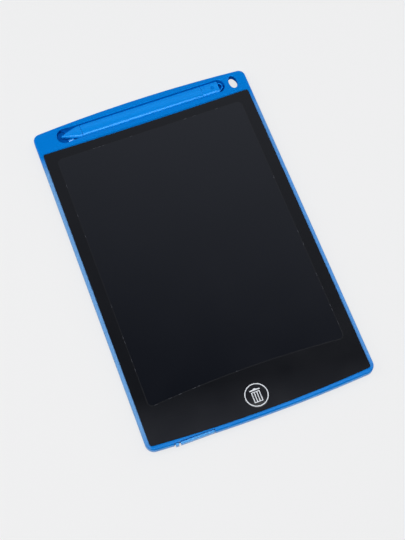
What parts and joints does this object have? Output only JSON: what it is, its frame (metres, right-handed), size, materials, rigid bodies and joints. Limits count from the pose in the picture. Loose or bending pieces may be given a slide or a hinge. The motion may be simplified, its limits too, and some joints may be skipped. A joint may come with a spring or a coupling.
{
  "type": "lcd writing tablet",
  "caption": "Flat handheld LCD writing tablet with a stylus in its top bar, a round erase button, a lanyard hole and a pull-out coin cell tray in its bottom edge.",
  "frame": {"origin": "middle of the case's footprint, on the surface that the tablet lies on", "axes": "+X to the right across the screen, +Y along the tablet towards the stylus bar, +Z out of the screen"},
  "size_m": [0.145, 0.226, 0.0052],
  "materials": {
    "case_plastic": "blue moulded ABS, semi-gloss",
    "stylus_plastic": "lighter blue moulded ABS, semi-gloss",
    "cover_film": "glossy black film",
    "lcd_film": "dark liquid crystal film",
    "tape": "white double-sided tape",
    "nylon": "natural nylon, satin",
    "polyimide": "amber flexible circuit",
    "board": "green solder mask on glass laminate",
    "chip_plastic": "black moulded epoxy",
    "capacitor_ceramic": "tan ceramic chip",
    "steel": "bright plated steel",
    "gasket": "grey sealing ring"
  },
  "bodies": {
    "case": {"front_frame": "case_plastic", "back_cover": "case_plastic", "cover_film": "cover_film", "lcd_upper_sheet": "lcd_film", "lcd_lower_sheet": "lcd_film", "lcd_mounting_tape": "tape", "lcd_tail": "polyimide", "circuit_board": "board", "driver_chip": "chip_plastic", "boost_inductor": "chip_plastic", "boost_diode": "chip_plastic", "capacitor_1": "capacitor_ceramic", "capacitor_2": "capacitor_ceramic", "resistor_1": "chip_plastic", "resistor_2": "chip_plastic", "board_screw_1": "steel", "board_screw_2": "steel", "negative_contact": "steel", "positive_contact": "steel", "switch_body": "chip_plastic"},
    "button": {"erase_button": "cover_film", "switch_plunger": "nylon"},
    "tray": {"battery_tray": "stylus_plastic", "cell_can": "steel", "cell_gasket": "gasket", "cell_cap": "steel"},
    "latch": {"tray_latch": "stylus_plastic"},
    "stylus": {"stylus_barrel": "stylus_plastic", "stylus_tip": "stylus_plastic", "stylus_end_cap": "stylus_plastic"}
  },
  "joints": [
    {"name": "erase_button_press", "type": "slide", "parent": "case", "child": "button", "axis": [0, 0, -1], "range_m": [0, 0.0004], "stiffness_N_per_m": 800},
    {"name": "stylus_lift", "type": "slide", "parent": "case", "child": "stylus", "axis": [0, 0, 1], "range_m": [0, 0.025]},
    {"name": "tray_slide", "type": "slide", "parent": "case", "child": "tray", "axis": [0, -1, 0], "range_m": [0, 0.024]},
    {"name": "latch_pinch", "type": "hinge", "parent": "tray", "child": "latch", "pos_m": [-0.0546, -0.1009, 0.0012], "axis": [0, 0, 1], "range_deg": [0, 3.2], "stiffness_Nm_per_rad": 0.02}
  ]
}
